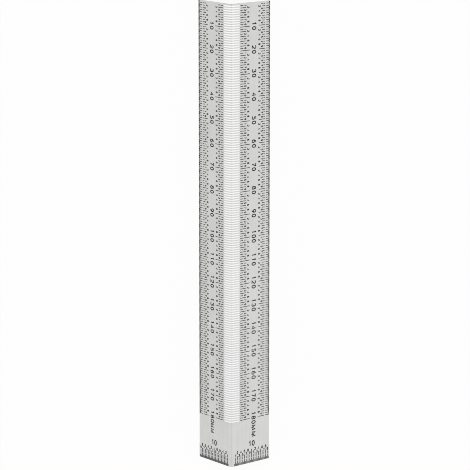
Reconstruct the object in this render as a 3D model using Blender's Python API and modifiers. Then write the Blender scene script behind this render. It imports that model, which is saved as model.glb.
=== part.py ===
# Bent marking ruler: one strip of stainless steel folded lengthways to a right angle.
# A comb of pencil slots is cut through the fold, one slot for each millimetre of the scale.
# The ruler lies as it comes to rest, on the free edges of its two legs with the fold on top.
# Metres, +Z up, +Y towards the zero end. The origin is on the bench, under the middle.

import math

import bmesh
import bpy
from mathutils import Vector

# Strip
GRADUATED_LENGTH = 0.180    # from the zero end to the last slot
PLAIN_END = 0.020           # past the last slot, where the short cross scale is printed
LEG_WIDTH = 0.0215          # outside, from the sharp corner of the fold to the free edge
SHEET_THICKNESS = 0.0005
FOLD_ANGLE = math.radians(90)
BEND_RADIUS = 0.0020        # outside of the fold
EDGE_BREAK = 0.00012        # the sheared edges are just taken off

# Pencil slots
SLOT_PITCH = 0.001
SLOT_WIDTH = 0.00052
SLOT_REACH = 0.0051         # from the sharp corner of the fold, along each leg
CUT_MARGIN = 0.0002         # the cutter stands proud of the sheet by this much

# Facets
BEND_SEGMENTS = 4
SMOOTH_BELOW = math.radians(30)

# Finish
STEEL_COLOUR = (0.60, 0.60, 0.60, 1.0)
STEEL_ROUGHNESS = 0.38

LENGTH = GRADUATED_LENGTH + PLAIN_END
ZERO_END = LENGTH / 2
HALF_FOLD = FOLD_ANGLE / 2
SLOT_COUNT = round(GRADUATED_LENGTH / SLOT_PITCH)

# Each leg runs down from the ridge at half the fold angle, and rests on its broken inner edge
RIDGE_HEIGHT = (
    LEG_WIDTH * math.cos(HALF_FOLD)
    + SHEET_THICKNESS * math.sin(HALF_FOLD)
    - EDGE_BREAK * min(math.cos(HALF_FOLD), math.sin(HALF_FOLD))
)


def clear_scene():
    for old in list(bpy.data.objects):
        bpy.data.objects.remove(old, do_unlink=True)


def new_collection(name):
    collection = bpy.data.collections.new(name)
    bpy.context.scene.collection.children.link(collection)
    return collection


def steel_material():
    material = bpy.data.materials.new("stainless_steel")
    material.use_nodes = True
    shader = material.node_tree.nodes["Principled BSDF"]
    shader.inputs["Base Color"].default_value = STEEL_COLOUR
    shader.inputs["Metallic"].default_value = 1.0
    shader.inputs["Roughness"].default_value = STEEL_ROUGHNESS
    material.diffuse_color = STEEL_COLOUR
    return material


def folded_surface(name, leg, near, far, collection):
    """An open surface of two legs that fall away from the ridge, between two places along Y."""
    mesh = bpy.data.meshes.new(name)
    bm = bmesh.new()
    across = leg * math.sin(HALF_FOLD)
    down = leg * math.cos(HALF_FOLD)
    ridge = bm.verts.new((0.0, near, RIDGE_HEIGHT))
    feet = [bm.verts.new((side * across, near, RIDGE_HEIGHT - down)) for side in (-1, 1)]
    profile = [bm.edges.new((feet[0], ridge)), bm.edges.new((ridge, feet[1]))]
    swept = bmesh.ops.extrude_edge_only(bm, edges=profile)["geom"]
    moved = [item for item in swept if isinstance(item, bmesh.types.BMVert)]
    bmesh.ops.translate(bm, verts=moved, vec=Vector((0.0, far - near, 0.0)))
    bm.normal_update()
    bmesh.ops.reverse_faces(bm, faces=[face for face in bm.faces if face.normal.z < 0])
    bm.to_mesh(mesh)
    bm.free()
    surface = bpy.data.objects.new(name, mesh)
    collection.objects.link(surface)
    return surface


def bend_and_thicken(surface):
    """Round the fold, give the sheet its thickness inwards and break its sheared edges."""
    bend = surface.modifiers.new("bend", "BEVEL")
    bend.limit_method = "ANGLE"
    bend.offset_type = "OFFSET"
    bend.width = BEND_RADIUS
    bend.segments = BEND_SEGMENTS
    sheet = surface.modifiers.new("sheet", "SOLIDIFY")
    sheet.thickness = SHEET_THICKNESS
    sheet.offset = -1.0
    sheet.use_even_offset = True
    deburr = surface.modifiers.new("deburr", "BEVEL")
    deburr.limit_method = "ANGLE"
    deburr.angle_limit = math.radians(60)
    deburr.offset_type = "OFFSET"
    deburr.width = EDGE_BREAK
    deburr.segments = 1


def slot_cutters(collection):
    """A row of short folded strips, thicker than the sheet, whose end walls stand square to the legs."""
    first = ZERO_END - SLOT_PITCH
    cutters = folded_surface(
        "slot_cutters", SLOT_REACH, first - SLOT_WIDTH / 2, first + SLOT_WIDTH / 2, collection
    )
    # the bend lies inside the sharp corner, so the cutter reaches that much further at the fold
    proud = CUT_MARGIN + BEND_RADIUS * (1 - math.sin(HALF_FOLD))
    block = cutters.modifiers.new("block", "SOLIDIFY")
    block.thickness = SHEET_THICKNESS + 2 * proud
    block.offset = -SHEET_THICKNESS / block.thickness
    block.use_even_offset = True
    row = cutters.modifiers.new("row", "ARRAY")
    row.count = SLOT_COUNT
    row.use_relative_offset = False
    row.use_constant_offset = True
    row.constant_offset_displace = (0.0, -SLOT_PITCH, 0.0)
    cutters.display_type = "WIRE"
    cutters.hide_render = True
    return cutters


def cut_slots(sheet, cutters):
    comb = sheet.modifiers.new("comb", "BOOLEAN")
    comb.operation = "DIFFERENCE"
    comb.solver = "EXACT"
    comb.object = cutters


def freeze_and_smooth(piece):
    """Turn the modifiers into mesh, so that the bend is shaded round and the sheared edges stay crisp."""
    depsgraph = bpy.context.evaluated_depsgraph_get()
    mesh = bpy.data.meshes.new_from_object(piece.evaluated_get(depsgraph))
    piece.modifiers.clear()
    piece.data = mesh
    mesh.name = piece.name
    mesh.shade_smooth()
    mesh.set_sharp_from_angle(angle=SMOOTH_BELOW)


def main():
    clear_scene()
    parts = new_collection("marking_ruler")
    tools = new_collection("cutters")
    ruler = folded_surface("bent_rule", LEG_WIDTH, -LENGTH / 2, ZERO_END, parts)
    ruler.data.materials.append(steel_material())
    bend_and_thicken(ruler)
    cut_slots(ruler, slot_cutters(tools))
    freeze_and_smooth(ruler)


main()
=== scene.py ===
import math

import bmesh
import bpy
import numpy as np
from mathutils import Matrix, Vector


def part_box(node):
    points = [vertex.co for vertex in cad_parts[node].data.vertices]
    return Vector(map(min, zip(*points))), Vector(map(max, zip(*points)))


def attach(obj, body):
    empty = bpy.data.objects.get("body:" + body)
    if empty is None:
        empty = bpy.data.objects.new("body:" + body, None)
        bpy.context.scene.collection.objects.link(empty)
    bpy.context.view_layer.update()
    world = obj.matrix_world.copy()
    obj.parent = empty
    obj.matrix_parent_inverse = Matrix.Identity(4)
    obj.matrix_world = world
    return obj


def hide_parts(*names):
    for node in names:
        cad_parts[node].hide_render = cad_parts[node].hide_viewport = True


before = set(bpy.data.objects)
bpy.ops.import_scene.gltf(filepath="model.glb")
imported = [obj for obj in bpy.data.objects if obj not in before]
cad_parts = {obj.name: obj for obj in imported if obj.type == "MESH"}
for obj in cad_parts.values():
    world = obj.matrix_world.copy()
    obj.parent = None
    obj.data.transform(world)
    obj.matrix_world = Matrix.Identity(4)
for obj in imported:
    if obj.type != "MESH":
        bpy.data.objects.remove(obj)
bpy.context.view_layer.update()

# A marking ruler of folded stainless steel: its sheet with the comb of pencil slots, and the
# black scales on the outer face of each leg. Metres. The fold runs along Y with the zero end at +Y.

mm = 0.001
nodeLow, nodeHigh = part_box("bent_rule")

strip = {
    "sheetThickness": 0.5 * mm,
    "bendRadius": 2.0 * mm,        # outside of the fold
    "edgeBreak": 0.12 * mm,        # what deburring takes off the sheared edges
    "graduated": 180 * mm,
    "slotPitch": 1.0 * mm,
    "slotWidth": 0.52 * mm,
    "slotReach": 5.1 * mm,         # from the sharp corner of the fold, along each leg
    "flatBesideBend": 0.15 * mm,   # a narrow flat first, so that the round shading stays in the bend
    "bendSteps": 16,
    "slotEndSteps": 5,
    "plainSteps": 4,               # from the free edge to the slots' ends
    "mergeDistance": 0.0001 * mm,
    "sharpAngle": 30,              # degrees, past which two faces meet in a crisp edge
}

# Each leg falls at 45 degrees from the ridge, so one number serves as its sine and its cosine
slope = math.sqrt(0.5)
zeroEnd = nodeHigh.y
plainEnd = nodeLow.y
legWidth = nodeHigh.x / slope + strip["edgeBreak"]
ridgeHeight = nodeHigh.z + strip["bendRadius"] * (math.sqrt(2) - 1)


def linear(hexColour):
    # sRGB hex to the linear values that a shader takes
    text = hexColour.lstrip("#")
    values = [int(text[i:i + 2], 16) / 255 for i in (0, 2, 4)]
    return [v / 12.92 if v <= 0.04045 else ((v + 0.055) / 1.055) ** 2.4 for v in values] + [1.0]


def addNode(tree, kind, settings=None, inputs=None, links=None):
    # settings are the node's own fields, inputs its unlinked values, links what feeds its sockets
    node = tree.nodes.new(kind)
    for key, value in (settings or {}).items():
        setattr(node, key, value)
    for key, value in (inputs or {}).items():
        node.inputs[key].default_value = value
    for key, socket in (links or {}).items():
        tree.links.new(socket, node.inputs[key])
    return node


def newMaterial(name):
    material = bpy.data.materials.new(name)
    material.use_nodes = True
    material.node_tree.nodes.clear()
    return material, material.node_tree


def meshObject(name, points, quads, material):
    mesh = bpy.data.meshes.new(name)
    mesh.from_pydata(points.tolist(), [], quads.tolist())
    mesh.materials.append(material)
    piece = bpy.data.objects.new(name, mesh)
    bpy.context.scene.collection.objects.link(piece)
    return piece


# Materials

steelFinish = {
    "pale": "#d6d6d5",
    "deep": "#cececd",
    "roughness": 0.36,
    "roughnessSwing": 0.03,
    "grainWidth": 0.35 * mm,       # rolling lines are nearer 0.02 mm, drawn wide enough to show
    "grainLength": 14 * mm,
    "cloudSize": 9 * mm,           # faint patches left by the etching bath
    "bump": 0.06,
    "bumpHeight": 0.01 * mm,
}


def satinStainlessSheet(look):
    # cold-rolled stainless sheet with a satin face: soft broad reflections, faint lines along the strip
    material, tree = newMaterial("satinStainlessSheet")
    place = addNode(tree, "ShaderNodeTexCoord").outputs["Object"]
    across = 1 / look["grainWidth"]
    along = 1 / look["grainLength"]
    stretched = addNode(tree, "ShaderNodeMapping", inputs={"Scale": (across, along, across)},
                        links={"Vector": place})
    grain = addNode(tree, "ShaderNodeTexNoise", inputs={"Scale": 1.0, "Detail": 3.0, "Roughness": 0.6},
                    links={"Vector": stretched.outputs["Vector"]}).outputs["Fac"]
    cloud = addNode(tree, "ShaderNodeTexNoise", inputs={"Scale": 1 / look["cloudSize"], "Detail": 2.0},
                    links={"Vector": place}).outputs["Fac"]
    both = addNode(tree, "ShaderNodeMath", {"operation": "ADD"}, links={0: grain, 1: cloud}).outputs[0]
    tone = addNode(tree, "ShaderNodeMapRange", inputs={"From Min": 0.75, "From Max": 1.25},
                   links={"Value": both}).outputs["Result"]
    colour = addNode(tree, "ShaderNodeMix", {"data_type": "RGBA"},
                     inputs={6: linear(look["deep"]), 7: linear(look["pale"])}, links={0: tone})
    rough = addNode(tree, "ShaderNodeMapRange",
                    inputs={"To Min": look["roughness"] - look["roughnessSwing"],
                            "To Max": look["roughness"] + look["roughnessSwing"]},
                    links={"Value": cloud})
    bump = addNode(tree, "ShaderNodeBump",
                   inputs={"Strength": look["bump"], "Distance": look["bumpHeight"]},
                   links={"Height": grain})
    shader = addNode(tree, "ShaderNodeBsdfPrincipled", inputs={"Metallic": 1.0},
                     links={"Base Color": colour.outputs[2], "Roughness": rough.outputs["Result"],
                            "Normal": bump.outputs["Normal"]})
    addNode(tree, "ShaderNodeOutputMaterial", links={"Surface": shader.outputs["BSDF"]})
    return material


cutFinish = {
    "bright": "#f6f6f6",
    "soft": "#ededed",
    "roughness": 0.08,
    "etchLine": 0.08 * mm,         # its real size, seen from close by alone
}


def brightCutSteel(look):
    # the walls of the slots: steel freshly cut through, brighter and smoother than the satin face
    material, tree = newMaterial("brightCutSteel")
    place = addNode(tree, "ShaderNodeTexCoord").outputs["Object"]
    lines = addNode(tree, "ShaderNodeTexNoise", inputs={"Scale": 1 / look["etchLine"], "Detail": 1.0},
                    links={"Vector": place}).outputs["Fac"]
    colour = addNode(tree, "ShaderNodeMix", {"data_type": "RGBA"},
                     inputs={6: linear(look["soft"]), 7: linear(look["bright"])}, links={0: lines})
    shader = addNode(tree, "ShaderNodeBsdfPrincipled",
                     inputs={"Metallic": 1.0, "Roughness": look["roughness"]},
                     links={"Base Color": colour.outputs[2]})
    addNode(tree, "ShaderNodeOutputMaterial", links={"Surface": shader.outputs["BSDF"]})
    return material


fillFinish = {
    "pale": "#2e2e2e",
    "deep": "#161616",
    "roughness": 0.65,
    "roughnessSwing": 0.08,
    "specular": 0.2,               # pigment stands at the surface, so it shines less than plain enamel
    "speckle": 0.25 * mm,
}


def blackEtchFill(look):
    # matt black enamel wiped into the etched lines: dark grey with a fine uneven tone, hardly any shine
    material, tree = newMaterial("blackEtchFill")
    place = addNode(tree, "ShaderNodeTexCoord").outputs["Object"]
    speckle = addNode(tree, "ShaderNodeTexNoise", inputs={"Scale": 1 / look["speckle"], "Detail": 2.0},
                      links={"Vector": place}).outputs["Fac"]
    colour = addNode(tree, "ShaderNodeMix", {"data_type": "RGBA"},
                     inputs={6: linear(look["deep"]), 7: linear(look["pale"])}, links={0: speckle})
    rough = addNode(tree, "ShaderNodeMapRange",
                    inputs={"To Min": look["roughness"] - look["roughnessSwing"],
                            "To Max": look["roughness"] + look["roughnessSwing"]},
                    links={"Value": speckle})
    shader = addNode(tree, "ShaderNodeBsdfPrincipled", inputs={"Specular IOR Level": look["specular"]},
                     links={"Base Color": colour.outputs[2], "Roughness": rough.outputs["Result"]})
    addNode(tree, "ShaderNodeOutputMaterial", links={"Surface": shader.outputs["BSDF"]})
    return material


steel = satinStainlessSheet(steelFinish)
cutSteel = brightCutSteel(cutFinish)
etchFill = blackEtchFill(fillFinish)
print("materials ready")


# Folded strip

def legStations(shape):
    # distances from the sharp corner, free edge first, and half the slot's opening at each: nothing
    # beyond the slot, then a quarter circle that opens to half the slot's width, then that width
    half = shape["slotWidth"] / 2
    plain = np.linspace(legWidth - shape["edgeBreak"], shape["slotReach"], shape["plainSteps"] + 1)
    turn = np.linspace(math.pi / 2, 0, shape["slotEndSteps"] + 1)[1:]
    roundEnd = shape["slotReach"] - half + half * np.sin(turn)
    distance = np.concatenate([plain, roundEnd, [shape["bendRadius"] + shape["flatBesideBend"]]])
    opening = np.concatenate([np.zeros(len(plain)), half * np.cos(turn), [half]])
    return distance, opening


def foldedSection(shape):
    # the outside of the section from the left free edge to the right one: a straight leg, an arc of
    # the bend's radius turning from -45 to +45 degrees, and the other leg, with outward normals
    distance, opening = legStations(shape)
    turn = np.linspace(-math.pi / 4, math.pi / 4, shape["bendSteps"] + 1)
    bendNormals = np.stack([np.sin(turn), np.cos(turn)], 1)
    bend = [0, ridgeHeight - shape["bendRadius"] * math.sqrt(2)] + shape["bendRadius"] * bendNormals
    left = np.stack([-distance * slope, ridgeHeight - distance * slope], 1)
    leftNormals = np.full((len(distance), 2), slope) * [-1, 1]
    points = np.concatenate([left, bend, left[::-1] * [-1, 1]])
    normals = np.concatenate([leftNormals, bendNormals, leftNormals * [-1, 1]])
    gap = np.concatenate([opening, np.full(len(turn), shape["slotWidth"] / 2), opening[::-1]])
    return points, normals, gap


def sectionLoop(shape, points, normals, inset):
    # once round the sheet: outer face, right free edge, inner face, left free edge. The corners
    # of the free edges are cut off, and inset shrinks the loop to the broken edge of an end face.
    cut = shape["edgeBreak"]
    thickness = shape["sheetThickness"]
    outer = points - normals * inset
    inner = points - normals * (thickness - inset)
    rims = []
    # the right rim stands at the last station and goes on from it, the left one at the first
    for end, way in ((-1, 1), (0, -1)):
        onward = np.array([normals[end, 1], -normals[end, 0]]) * way * (cut - inset)
        rims.append([points[end] - normals[end] * depth + onward for depth in (cut, thickness - cut)])
    return np.concatenate([outer, rims[0], inner[::-1], rims[1][::-1]])


def stripSurface(shape):
    # the section's loop repeated along Y: at both ends, and along both sides of every slot, where a
    # line of the loop bows in by the slot's opening. Quads join the loops, and walls line the slots.
    points, normals, gap = foldedSection(shape)
    count = round(shape["graduated"] / shape["slotPitch"])
    stations = len(points)
    full = sectionLoop(shape, points, normals, 0.0)
    small = sectionLoop(shape, points, normals, shape["edgeBreak"])
    around = len(full)
    bow = np.concatenate([gap, [0, 0], gap[::-1], [0, 0]])
    centres = zeroEnd - shape["slotPitch"] * np.arange(1, count + 1)[:, None]
    edge = np.ones((1, around))
    slotSides = np.stack([centres + bow, centres - bow], 1).reshape(-1, around)
    y = np.concatenate([edge * zeroEnd, edge * (zeroEnd - shape["edgeBreak"]), slotSides,
                        edge * (plainEnd + shape["edgeBreak"]), edge * plainEnd])
    loops = np.repeat(full[None], len(y), 0)
    loops[[0, -1]] = small
    grid = np.stack([loops[..., 0], y, loops[..., 1]], 2)
    index = np.arange(y.size).reshape(y.shape)

    def quadsBetween(a, b):
        # one quad for each step along two matching rows of corners
        return np.stack([a[..., :-1], a[..., 1:], b[..., 1:], b[..., :-1]], -1).reshape(-1, 4)

    # rows 0 and 1 are the broken edge of the zero end, 2 and 3 the sides of the first slot, and so on
    closed = np.concatenate([index, index[:, :1]], 1)
    sheet = [quadsBetween(closed[1:-1:2], closed[2:-1:2]), quadsBetween(closed[[0, -2]], closed[[1, -1]])]
    outer = index[:, :stations]
    inner = index[:, 2 * stations + 1:stations + 1:-1]
    ends = [quadsBetween(outer[k], inner[k]) for k in (0, -1)]
    cutAway = np.flatnonzero((gap[:-1] > 0) | (gap[1:] > 0))
    reach = slice(cutAway[0], cutAway[-1] + 2)
    walls = [quadsBetween(outer[k:-2:2, reach], inner[k:-2:2, reach]) for k in (2, 3)]
    faces = sheet + ends + walls
    isWall = np.repeat([0, 1], [sum(map(len, sheet + ends)), sum(map(len, walls))])
    return grid.reshape(-1, 3), np.concatenate(faces), isWall


def makeStrip(shape):
    points, quads, isWall = stripSurface(shape)
    piece = meshObject("foldedStrip", points, quads, steel)
    piece.data.materials.append(cutSteel)
    piece.data.polygons.foreach_set("material_index", isWall.astype(np.int32))
    solid = bmesh.new()
    solid.from_mesh(piece.data)
    # two sides of a slot lie on each other beyond its ends, and so do the rim's corners at an end face
    bmesh.ops.remove_doubles(solid, verts=solid.verts, dist=shape["mergeDistance"])
    bmesh.ops.recalc_face_normals(solid, faces=solid.faces)
    solid.to_mesh(piece.data)
    solid.free()
    piece.data.shade_smooth()
    piece.data.set_sharp_from_angle(angle=math.radians(shape["sharpAngle"]))
    return piece


foldedStrip = makeStrip(strip)
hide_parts("bent_rule")
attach(foldedStrip, "root")
print("folded strip:", len(foldedStrip.data.polygons), "faces")


# Scales

# Marks lie on the outer face of a leg, given as the face is seen with the zero end up: a to the
# right, b upwards, both from the point where the zero end meets the sharp corner of the fold.
# side is 1 for the leg on +X and -1 for the other, so the free edge is at a = side * legWidth.
etch = {
    "proud": 0.010 * mm,         # the fill is flush on the real ruler, and is lifted so that it shows
    "sunk": 0.010 * mm,
    "mitreLimit": 0.35,          # least openness of a corner, as penLine measures it
}
# Marks along a free edge and along the plain end. Ticks start at the edge, and past a bare line each
# leader goes on towards its number. Real lines are about 0.2 mm wide, and are drawn wide enough to
# show. The half marks run together to a dark border.
edgeMarks = {
    "line": 0.28 * mm,
    "halfLine": 0.46 * mm,
}
crossMarks = {
    "halfLine": 0.36 * mm,
    "halfTick": 1.2 * mm,
    "tick": 2.25 * mm,
    "leader": 2.5 * mm,
}
# The left leg's ticks along its free edge run longer and its cross-scale lines are wider than the right
# leg's, which darkens the bands along that leg's edges. Each leg has values of its own: 1 is the right one,
# -1 the left
legEdgeMarks = {
    1: {"halfTick": 0.82 * mm, "tick": 2.2 * mm, "leader": 2.85 * mm},
    -1: {"halfTick": 1.0 * mm, "tick": 2.4 * mm, "leader": 2.95 * mm},
}
legCrossMarks = {
    1: {"line": 0.33 * mm},
    -1: {"line": 0.42 * mm},
}
edgeScale = {                    # distances from the edge that the scale is read at
    "oddLeader": 3.65 * mm,
    "evenLeader": 4.4 * mm,
    "tensLeader": 6.2 * mm,
    "oddNumber": 4.55 * mm,
    "evenNumber": 5.95 * mm,
}
slotScale = {                    # distances from the sharp corner
    "line": 0.28 * mm,
    "start": strip["slotReach"] + 0.02 * mm,
    "oddTick": 6.7 * mm,
    "evenTick": 8.15 * mm,
    "tensTick": 10.3 * mm,
    "oddNumber": 7.8 * mm,
    "evenNumber": 9.45 * mm,
}
crossScale = {
    "zero": 1.5 * mm,            # from the sharp corner, so that 20 mm is the free edge
    "length": 20 * mm,
}
# Sizes of the figures. A 4 takes a finer pen, or its eye would fill.
smallNumber = {
    "height": 1.25 * mm,
    "width": 0.80 * mm,
    "stroke": 0.29 * mm,
    "fourStroke": 0.22 * mm,
    "steps": 10,
}
crossNumber = {
    "height": 1.40 * mm,
    "width": 0.92 * mm,
    "stroke": 0.33 * mm,
    "fourStroke": 0.25 * mm,
    "steps": 12,
}
bigNumber = {
    "height": 2.4 * mm,
    "width": 1.58 * mm,
    "pitch": 2.0 * mm,
    "stroke": 0.44 * mm,
    "fourStroke": 0.41 * mm,
    "steps": 24,
    "fromCorner": 12.6 * mm,
}
crossNumeral = {
    "height": 2.55 * mm,
    "width": 1.68 * mm,
    "pitch": 1.9 * mm,
    "stroke": 0.48 * mm,
    "steps": 24,
    "fromEnd": 8.65 * mm,
}
unitLetters = {                  # the MM after the last number is set wider on the right leg
    1: {"after": 2.35 * mm, "width": 2.35 * mm, "pitch": 2.95 * mm, "stroke": 0.58 * mm},
    -1: {"after": 1.95 * mm, "width": 1.95 * mm, "pitch": 2.4 * mm, "stroke": 0.56 * mm},
}


def onFace(side, a, b, lift):
    # a point of the leg's outer face, lifted along its normal
    return np.stack([(a + side * lift) * slope, zeroEnd + b, ridgeHeight + (lift - side * a) * slope], -1)


def boxesOnFace(side, firstA, lastA, firstB, lastB):
    # one flat box for each mark, from just under the face to just above it
    corners = np.broadcast_arrays(*map(np.atleast_1d, (firstA, lastA, firstB, lastB)))
    lowA, highA = np.minimum(*corners[:2]), np.maximum(*corners[:2])
    lowB, highB = np.minimum(*corners[2:]), np.maximum(*corners[2:])
    a = np.stack([lowA, highA, highA, lowA] * 2, -1)
    b = np.stack([lowB, lowB, highB, highB] * 2, -1)
    lift = np.array([-etch["sunk"]] * 4 + [etch["proud"]] * 4)
    # the four lower corners come first: base, top and four walls
    box = np.array([[3, 2, 1, 0], [4, 5, 6, 7], [0, 1, 5, 4], [1, 2, 6, 5], [2, 3, 7, 6], [3, 0, 4, 7]])
    quads = box + 8 * np.arange(len(lowA))[:, None, None]
    return onFace(side, a, b, lift).reshape(-1, 3), quads.reshape(-1, 4)


def joined(shapes):
    # several sets of points and quads as one
    starts = np.cumsum([0] + [len(points) for points, quads in shapes[:-1]])
    return (np.concatenate([points for points, quads in shapes]),
            np.concatenate([quads + start for (points, quads), start in zip(shapes, starts)]))


def tickMarks(at, near, far, place, line):
    # marks across a scale: at is where each stands along it, near and far how far from its edge
    return place(at - line / 2, near, at + line / 2, far)


def markReach(whole, tens, odd, even):
    # how far the mark of each whole millimetre reaches
    return np.where(whole % 10 == 0, tens, np.where(whole % 2, odd, even))


def edgeScaleMarks(length, layout, marks, place):
    # half millimetres, millimetres, and behind the bare line a leader to every number
    halves = np.arange(0.5, length / mm, 1.0) * mm
    whole = np.arange(1, round(length / mm) + 1)
    reach = markReach(whole, layout["tensLeader"], layout["oddLeader"], layout["evenLeader"])
    edge = strip["edgeBreak"] + etch["proud"]
    return [tickMarks(halves, edge, marks["halfTick"], place, marks["halfLine"]),
            tickMarks(whole * mm, edge, marks["tick"], place, marks["line"]),
            tickMarks(whole * mm, marks["leader"], reach, place, marks["line"])]


def slotScaleMarks(length, layout, place):
    # millimetres, as ticks that go on from the slots' ends
    whole = np.arange(1, round(length / mm) + 1)
    reach = markReach(whole, layout["tensTick"], layout["oddTick"], layout["evenTick"])
    return [tickMarks(whole * mm, layout["start"], reach, place, layout["line"])]


def arc(centreX, centreY, radiusX, radiusY, start, stop, steps):
    # part of an ellipse from one angle to another, in degrees anticlockwise from the right. A whole
    # turn takes steps pieces, and a part of one its share of them.
    count = max(2, round(steps * abs(stop - start) / 360)) + 1
    turn = np.radians(np.linspace(start, stop, count))
    return np.stack([centreX + radiusX * np.cos(turn), centreY + radiusY * np.sin(turn)], 1)


def glyphLines(sign, steps):
    # the centre lines of a sign in a unit square, which a pen of one width follows
    six = [arc(0.5, 0.32, 0.5, 0.32, 0, 360, steps), arc(0.75, 0.32, 0.75, 0.68, 85, 180, steps)]
    return {
        "0": [arc(0.5, 0.5, 0.5, 0.5, 0, 360, steps)],
        "1": [np.array([(0.2, 0.78), (0.6, 1.0), (0.6, 0.0)])],
        "2": [np.concatenate([arc(0.5, 0.7, 0.5, 0.3, 170, -30, steps), [(0.0, 0.0), (1.0, 0.0)]])],
        "3": [np.concatenate([arc(0.46, 0.76, 0.48, 0.24, 160, -80, steps),
                              arc(0.46, 0.28, 0.54, 0.28, 75, -160, steps)])],
        "4": [np.array([(0.78, 0.0), (0.78, 1.0), (0.0, 0.27), (1.0, 0.27)])],
        "5": [np.concatenate([[(0.92, 1.0), (0.16, 1.0), (0.08, 0.5)],
                              arc(0.46, 0.32, 0.54, 0.32, 130, -155, steps)])],
        "6": six,
        "7": [np.array([(0.0, 1.0), (1.0, 1.0), (0.34, 0.0)])],
        "8": [arc(0.5, 0.77, 0.42, 0.23, 0, 360, steps), arc(0.5, 0.28, 0.5, 0.28, 0, 360, steps)],
        "9": [1.0 - line for line in six],
        "M": [np.array([(0.0, 0.0), (0.0, 1.0), (0.5, 0.05), (1.0, 1.0), (1.0, 0.0)])],
    }[sign]


def penLine(line, stroke):
    # a band of the pen's width along a line: both sides lie on the mitre of the two directions that
    # meet at each point. Returns flat points, a marker for the lower layer, and quads.
    closed = np.allclose(line[0], line[-1])
    if closed:
        line = line[:-1]
    before = line - np.roll(line, 1, 0)
    after = np.roll(line, -1, 0) - line
    if not closed:
        before[0] = after[0]
        after[-1] = before[-1]
    before /= np.linalg.norm(before, axis=1)[:, None]
    after /= np.linalg.norm(after, axis=1)[:, None]
    left = np.stack([-before[:, 1] - after[:, 1], before[:, 0] + after[:, 0]], 1)
    # openness is 2 on a straight line and 0 where it turns right back, so the limit cuts sharp tips
    openness = np.maximum(1 + (before * after).sum(1), etch["mitreLimit"])
    mitre = left / openness[:, None] * stroke / 2
    flat = np.concatenate([line + mitre, line - mitre])
    count = len(line)
    here = np.arange(count if closed else count - 1)
    there = (here + 1) % count
    sides = [here, here + count, there + count, there]
    top = np.stack(sides, 1) + 2 * count
    base = np.stack(sides[::-1], 1)
    leftWall = np.stack([here, here + 2 * count, there + 2 * count, there], 1)
    rightWall = leftWall[:, ::-1] + count
    quads = [top, base, leftWall, rightWall]
    if not closed:
        first, last = 0, count - 1
        quads.append(np.array([[first, first + count, first + 3 * count, first + 2 * count],
                               [last + count, last, last + 2 * count, last + 3 * count]]))
    return np.concatenate([flat, flat]), np.arange(4 * count) < 2 * count, np.concatenate(quads)


def glyphsOnFace(side, sign, pen, a, b, upright):
    # copies of one glyph, each centred on a point of the face, reading to the right or down the ruler
    a, b = np.atleast_1d(a), np.atleast_1d(b)
    stroke = pen["fourStroke"] if sign == "4" else pen["stroke"]
    size = np.array([pen["width"], pen["height"]]) - stroke
    shapes = []
    for line in glyphLines(sign, pen["steps"]):
        flat, lower, quads = penLine((line - 0.5) * size, stroke)
        across, up = (flat[:, 0], flat[:, 1]) if upright else (flat[:, 1], -flat[:, 0])
        lift = np.where(lower, -etch["sunk"], etch["proud"])
        points = onFace(side, a[:, None] + across, b[:, None] + up, lift)
        copies = quads + len(flat) * np.arange(len(a))[:, None, None]
        shapes.append((points.reshape(-1, 3), copies.reshape(-1, 4)))
    return joined(shapes)


def smallNumbers(side, length, layout, pen, place, upright):
    # a digit at every millimetre but the tens, odd ones nearer the scale's ticks than even ones
    shapes = []
    for digit in range(1, 10):
        at = np.arange(digit, length / mm, 10) * mm
        away = layout["oddNumber"] if digit % 2 else layout["evenNumber"]
        a, b = place(at, np.full_like(at, away))
        shapes.append(glyphsOnFace(side, str(digit), pen, a, b, upright))
    return joined(shapes)


def letterPlaces(word, centre, pitch):
    # where each letter stands along a word that is centred on a point
    return centre + (np.arange(len(word)) - (len(word) - 1) / 2) * pitch


def bigNumbers(side):
    # the tens down the middle of the leg, each centred on its mark, and MM after the last of them
    shapes = []
    middle = side * bigNumber["fromCorner"]
    for tens in range(10, round(strip["graduated"] / mm) + 1, 10):
        word = str(tens)
        places = letterPlaces(word, tens * mm, bigNumber["pitch"])
        for sign, at in zip(word, places):
            shapes.append(glyphsOnFace(side, sign, bigNumber, middle, -at, False))
    unit = unitLetters[side]
    pen = dict(bigNumber, width=unit["width"], stroke=unit["stroke"])
    for k, sign in enumerate("MM"):
        b = -places[-1] - unit["after"] - k * unit["pitch"]
        shapes.append(glyphsOnFace(side, sign, pen, middle, b, False))
    # the upright 10 of the cross scale
    word = "10"
    middle = side * (crossScale["zero"] + crossScale["length"] / 2)
    b = plainEnd - zeroEnd + crossNumeral["fromEnd"]
    for sign, a in zip(word, letterPlaces(word, middle, crossNumeral["pitch"])):
        shapes.append(glyphsOnFace(side, sign, crossNumeral, a, b, True))
    return joined(shapes)


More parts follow.
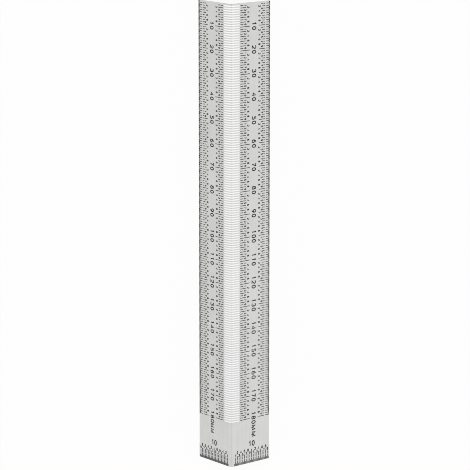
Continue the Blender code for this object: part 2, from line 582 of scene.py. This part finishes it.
def makeScales(side, name):
    # each scale is laid out by two distances, along it and away from its edge, and these three turn
    # them into a place on the face. The last mark of the cross scale stops at the broken edge.
    def freeEdge(at, away):
        return side * (legWidth - away), -at

    def slotEnds(at, away):
        return side * away, -at

    def endEdge(at, away):
        a = np.minimum(crossScale["zero"] + at, legWidth - strip["edgeBreak"] - etch["proud"])
        return side * a, plainEnd - zeroEnd + away

    def boxes(where):
        def place(firstAt, near, lastAt, far):
            firstA, firstB = where(firstAt, near)
            lastA, lastB = where(lastAt, far)
            return boxesOnFace(side, firstA, lastA, firstB, lastB)
        return place

    edge = {**edgeMarks, **legEdgeMarks[side]}
    cross = {**crossMarks, **legCrossMarks[side]}
    ticks = edgeScaleMarks(strip["graduated"], edgeScale, edge, boxes(freeEdge))
    ticks += slotScaleMarks(strip["graduated"], slotScale, boxes(slotEnds))
    ticks += edgeScaleMarks(crossScale["length"], edgeScale, cross, boxes(endEdge))
    digits = [smallNumbers(side, strip["graduated"], edgeScale, smallNumber, freeEdge, False),
              smallNumbers(side, strip["graduated"], slotScale, smallNumber, slotEnds, False),
              smallNumbers(side, crossScale["length"], edgeScale, crossNumber, endEdge, True)]
    for kind, shapes in (("Ticks", ticks), ("Digits", digits), ("Numerals", [bigNumbers(side)])):
        piece = meshObject(name + kind, *joined(shapes), etchFill)
        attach(piece, "root")
        print(piece.name + ":", len(piece.data.polygons), "faces")


makeScales(1, "rightLeg")
makeScales(-1, "leftLeg")


# Floor, light and camera

paper = {
    "colour": "#fcfcfc",
    "glowShare": 0.9,            # the rest takes the ruler's real shade
    "half": 3.0,                 # metres from the middle of the paper to its sides
    "below": 0.02 * mm,
}


def makeFloor(look):
    # matt white paper: white to the camera and in reflections, with a part of real shade left in it
    material, tree = newMaterial("whitePaperSweep")
    path = addNode(tree, "ShaderNodeLightPath").outputs
    matt = addNode(tree, "ShaderNodeBsdfDiffuse", inputs={"Color": linear(look["colour"])})
    glow = addNode(tree, "ShaderNodeEmission", inputs={"Color": linear("#ffffff"), "Strength": 1.0})
    seen = addNode(tree, "ShaderNodeMath", {"operation": "MAXIMUM"},
                   links={0: path["Is Camera Ray"], 1: path["Is Glossy Ray"]})
    seen = addNode(tree, "ShaderNodeMath", {"operation": "MAXIMUM"},
                   links={0: seen.outputs[0], 1: path["Is Transmission Ray"]})
    share = addNode(tree, "ShaderNodeMath", {"operation": "MULTIPLY"}, inputs={1: look["glowShare"]},
                    links={0: seen.outputs[0]})
    mix = addNode(tree, "ShaderNodeMixShader",
                  links={0: share.outputs[0], 1: matt.outputs[0], 2: glow.outputs[0]})
    addNode(tree, "ShaderNodeOutputMaterial", links={"Surface": mix.outputs[0]})
    half = look["half"]
    height = nodeLow.z - look["below"]
    corners = [(-half, -half, height), (half, -half, height), (half, half, height), (-half, half, height)]
    floor = meshObject("paperSweep", np.array(corners), np.array([[0, 1, 2, 3]]), material)


room = {
    "middle": 0.98,              # brightness of the walls beside the ruler
    "ends": 0.45,                # and past its ends
    "endsFrom": 0.35,            # how far towards the ends they begin to darken, of 1
    "left": 0.95,                # factors on both, for the room's left and right
    "right": 1.08,
}
overhead = {
    "towards": (-0.09, 0.03, 0.995),
    "core": 0.06,                # radii on a unit sphere
    "rim": 0.22,
    "level": 0.1,
}


def makeWorld(walls, stand):
    world = bpy.data.worlds.new("softStudio")
    bpy.context.scene.world = world
    world.use_nodes = True
    tree = world.node_tree
    tree.nodes.clear()
    # an even white room, a little brighter towards +X and falling off past both ends of the ruler
    direction = addNode(tree, "ShaderNodeTexCoord").outputs["Generated"]
    parts = addNode(tree, "ShaderNodeSeparateXYZ", links={"Vector": direction}).outputs
    lengthwise = addNode(tree, "ShaderNodeMath", {"operation": "ABSOLUTE"}, links={0: parts["Y"]}).outputs[0]
    ends = addNode(tree, "ShaderNodeMapRange", {"interpolation_type": "SMOOTHSTEP"},
                   inputs={"From Min": walls["endsFrom"], "From Max": 1.0,
                           "To Min": walls["middle"], "To Max": walls["ends"]},
                   links={"Value": lengthwise}).outputs["Result"]
    side = addNode(tree, "ShaderNodeMapRange",
                   inputs={"From Min": -1.0, "From Max": 1.0,
                           "To Min": walls["left"], "To Max": walls["right"]},
                   links={"Value": parts["X"]}).outputs["Result"]
    level = addNode(tree, "ShaderNodeMath", {"operation": "MULTIPLY"}, links={0: ends, 1: side}).outputs[0]
    # the camera and its stand overhead, a dim round shape that the crest of the fold mirrors
    off = addNode(tree, "ShaderNodeVectorMath", {"operation": "DISTANCE"},
                  inputs={1: stand["towards"]}, links={0: direction}).outputs["Value"]
    dim = addNode(tree, "ShaderNodeMapRange", {"interpolation_type": "SMOOTHSTEP"},
                  inputs={"From Min": stand["core"], "From Max": stand["rim"],
                          "To Min": stand["level"], "To Max": 1.0},
                  links={"Value": off}).outputs["Result"]
    level = addNode(tree, "ShaderNodeMath", {"operation": "MULTIPLY"}, links={0: level, 1: dim}).outputs[0]
    camera = addNode(tree, "ShaderNodeLightPath").outputs["Is Camera Ray"]
    shown = addNode(tree, "ShaderNodeMix", {"data_type": "FLOAT"}, inputs={3: 1.0},
                    links={0: camera, 2: level})
    back = addNode(tree, "ShaderNodeBackground", inputs={"Color": linear("#ffffff")},
                   links={"Strength": shown.outputs[0]})
    addNode(tree, "ShaderNodeOutputWorld", links={"Surface": back.outputs[0]})


softboxes = {
    "keySoftbox": {"place": (1.3, 0.6, 1.3), "size": 2.0, "watts": 2.5},
    "fillSoftbox": {"place": (-1.4, -0.3, 1.2), "size": 2.0, "watts": 1.5},
}


def addSoftbox(name, look):
    # a square lamp that faces the ruler
    lamp = bpy.data.lights.new(name, "AREA")
    lamp.shape = "SQUARE"
    lamp.size = look["size"]
    lamp.energy = look["watts"]
    box = bpy.data.objects.new(name, lamp)
    box.location = look["place"]
    box.rotation_mode = "QUATERNION"
    box.rotation_quaternion = (-Vector(look["place"])).to_track_quat("-Z", "Y")
    bpy.context.scene.collection.objects.link(box)


cameraView = {
    "lens": 199.1,               # millimetres, as is the sensor's width
    "sensorWidth": 36.0,
    "aim": (0.0010, 0.0007, 0.0080),
    "distance": 1.105,
    "towardsZeroEnd": 11.9,      # degrees off straight down
    "towardsRightLeg": 5.05,
    "clipStart": 0.01,
    "pixelFilter": 0.95,         # narrow, which keeps the half millimetres apart
}


def makeCamera(view):
    lean = math.radians(view["towardsZeroEnd"])
    swing = math.radians(view["towardsRightLeg"])
    back = Vector((math.sin(swing) * math.cos(lean), math.sin(lean), math.cos(swing) * math.cos(lean)))
    data = bpy.data.cameras.new("photoView")
    data.lens = view["lens"]
    data.sensor_width = view["sensorWidth"]
    data.clip_start = view["clipStart"]
    camera = bpy.data.objects.new("photoView", data)
    camera.location = Vector(view["aim"]) + back * view["distance"]
    # the ruler's length stands upright in the picture
    right = Vector((0.0, 1.0, 0.0)).cross(back).normalized()
    up = back.cross(right)
    turned = np.array([right, up, back]).T
    camera.rotation_mode = "QUATERNION"
    camera.rotation_quaternion = Matrix(turned.tolist()).to_quaternion()
    bpy.context.scene.collection.objects.link(camera)
    bpy.context.scene.camera = camera
    bpy.context.scene.cycles.filter_width = view["pixelFilter"]
    bpy.context.scene.view_settings.view_transform = "Standard"


makeFloor(paper)
makeWorld(room, overhead)
for name, look in softboxes.items():
    addSoftbox(name, look)
makeCamera(cameraView)
print("floor, light and camera ready")
